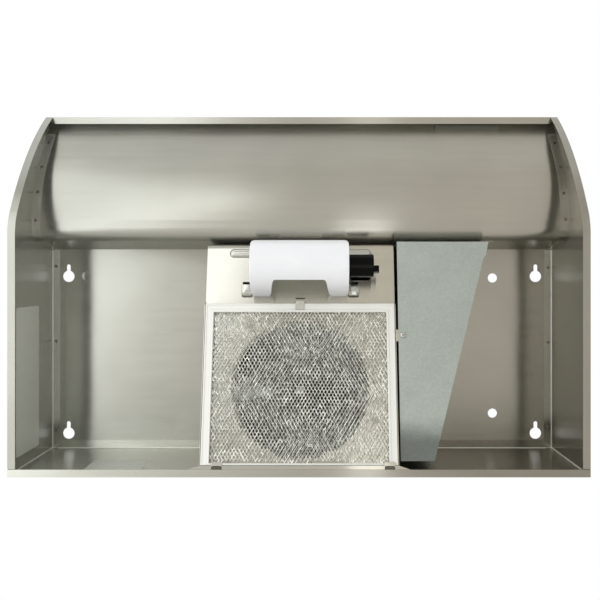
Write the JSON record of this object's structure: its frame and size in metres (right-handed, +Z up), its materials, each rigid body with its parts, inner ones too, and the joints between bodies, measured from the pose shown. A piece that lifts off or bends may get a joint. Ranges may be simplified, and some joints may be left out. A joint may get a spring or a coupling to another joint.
{
  "type": "range hood",
  "caption": "Under-cabinet range hood seen from below: steel canopy with curved sides, mesh filter in a sloped housing, lamp lens and socket, fan, duct collar with damper and wiring cover.",
  "frame": {"origin": "centre of the four cabinet keyholes on the upper face of the top panel", "axes": "+Z up towards the cabinet, -Y to the front lip, +Y to the wall, +X to the wiring side"},
  "size_m": [0.762, 0.5004, 0.223],
  "materials": {
    "stainless": "brushed stainless sheet",
    "galvanised": "galvanised sheet",
    "aluminium_frame": "mill finish",
    "aluminium_mesh": "expanded foil mesh",
    "aluminium_fan": "stamped, matt",
    "spring_steel": "bright spring steel",
    "zinc_steel": "zinc plated",
    "white_lens": "translucent white",
    "black_socket": "black phenolic",
    "button_plastic": "polished black",
    "white_plastic": "moulded white",
    "motor_enamel": "black enamel",
    "brass": "bright"
  },
  "bodies": {
    "hood": {"top_panel": "stainless", "back_panel": "stainless", "side_panel_left": "stainless", "side_panel_right": "stainless", "inner_front_panel": "stainless", "filter_housing": "stainless", "lamp_socket": "black_socket", "socket_shell": "aluminium_frame", "socket_contact": "brass", "motor_bracket": "galvanised", "motor_housing": "motor_enamel", "duct_collar": "galvanised", "damper_pin": "zinc_steel", "control_housing": "galvanised", "wiring_cover": "galvanised", "wiring_cover_screw": "zinc_steel", "terminal_block": "white_plastic"},
    "filter": {"filter_frame": "aluminium_frame", "filter_mesh": "aluminium_mesh", "filter_latch": "spring_steel"},
    "lens": {"lamp_lens": "white_lens"},
    "rotor": {"motor_shaft": "spring_steel", "fan_blades": "aluminium_fan", "fan_nut": "zinc_steel"},
    "damper_front": {"damper_flap_front": "galvanised"},
    "damper_rear": {"damper_flap_rear": "galvanised"},
    "button_light": {"light_button": "button_plastic"},
    "button_fan_low": {"fan_low_button": "button_plastic"},
    "button_fan_high": {"fan_high_button": "button_plastic"}
  },
  "joints": [
    {"name": "filter_swing", "type": "hinge", "parent": "hood", "child": "filter", "pos_m": [0, 0.12336, -0.17525], "axis": [1, 0, 0], "range_deg": [0, 75]},
    {"name": "lens_swing", "type": "hinge", "parent": "hood", "child": "lens", "pos_m": [0, -0.16276, -0.08807], "axis": [-1, 0, 0], "range_deg": [0, 60]},
    {"name": "fan_spin", "type": "hinge", "parent": "hood", "child": "rotor", "pos_m": [0, 0.0325, -0.14122], "axis": [0, 0.2514, 0.9679], "continuous": true},
    {"name": "damper_front_swing", "type": "hinge", "parent": "hood", "child": "damper_front", "pos_m": [0, 0.04, 0.014], "axis": [-1, 0, 0], "range_deg": [0, 70]},
    {"name": "damper_rear_swing", "type": "hinge", "parent": "hood", "child": "damper_rear", "pos_m": [0, 0.04, 0.014], "axis": [1, 0, 0], "range_deg": [0, 70]},
    {"name": "light_press", "type": "slide", "parent": "hood", "child": "button_light", "axis": [0, 1, 0], "range_m": [0, 0.0012], "stiffness_N_per_m": 300},
    {"name": "fan_low_press", "type": "slide", "parent": "hood", "child": "button_fan_low", "axis": [0, 1, 0], "range_m": [0, 0.0012], "stiffness_N_per_m": 300},
    {"name": "fan_high_press", "type": "slide", "parent": "hood", "child": "button_fan_high", "axis": [0, 1, 0], "range_m": [0, 0.0012], "stiffness_N_per_m": 300}
  ]
}
